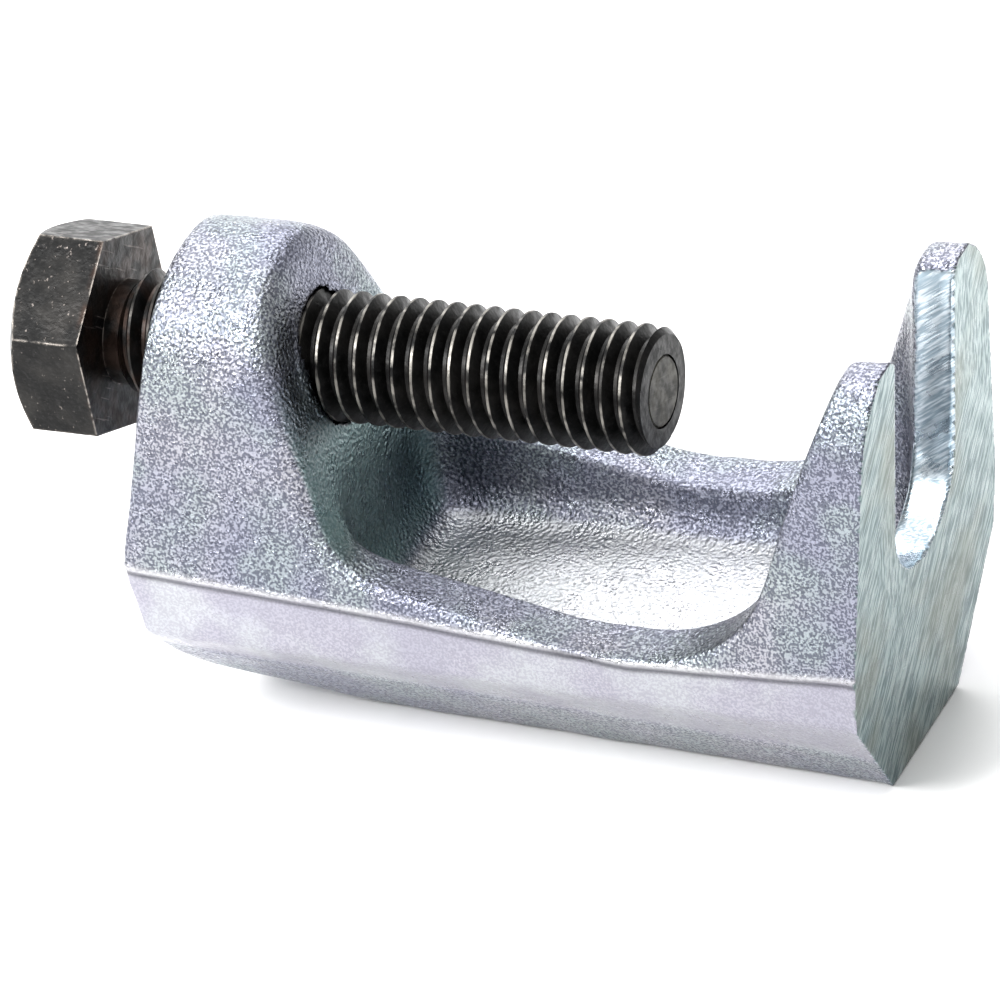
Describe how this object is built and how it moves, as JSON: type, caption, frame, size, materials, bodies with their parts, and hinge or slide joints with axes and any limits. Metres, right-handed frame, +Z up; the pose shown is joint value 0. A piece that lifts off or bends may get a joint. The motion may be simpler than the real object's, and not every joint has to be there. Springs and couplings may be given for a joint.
{
  "type": "ball joint separator",
  "caption": "Forged C-shaped puller with a U-notched fork at one end and a hex-head forcing screw threaded through the boss at the other.",
  "frame": {"origin": "bottom centre of the bounding box: on the flat base, half way along the tool, in its plane of symmetry", "axes": "+X along the forcing screw from the hex head towards the fork, +Z up from the base through the open throat, +Y to the left of +X"},
  "size_m": [0.1182, 0.046, 0.0639],
  "materials": {
    "zinc_plated_steel": "shot-blasted forging with bright zinc plating",
    "black_oxide_steel": "black oxide, worn bright on the thread crests",
    "hardened_point_steel": "dark hardened steel"
  },
  "bodies": {
    "frame": {"frame": "zinc_plated_steel"},
    "screw_feed": {"thrust_button": "hardened_point_steel"},
    "screw": {"forcing_screw": "black_oxide_steel"}
  },
  "joints": [
    {"name": "feed", "type": "slide", "parent": "frame", "child": "screw_feed", "axis": [1, 0, 0], "range_m": [-0.0425, 0.005]},
    {"name": "turn", "type": "hinge", "parent": "screw_feed", "child": "screw", "pos_m": [-0.04158, 0, 0.0475], "axis": [1, 0, 0], "range_deg": [-6121, 721]}
  ],
  "couplings": [
    {"joint": "turn", "follows": "feed", "rad_per_m": 2513.3}
  ]
}
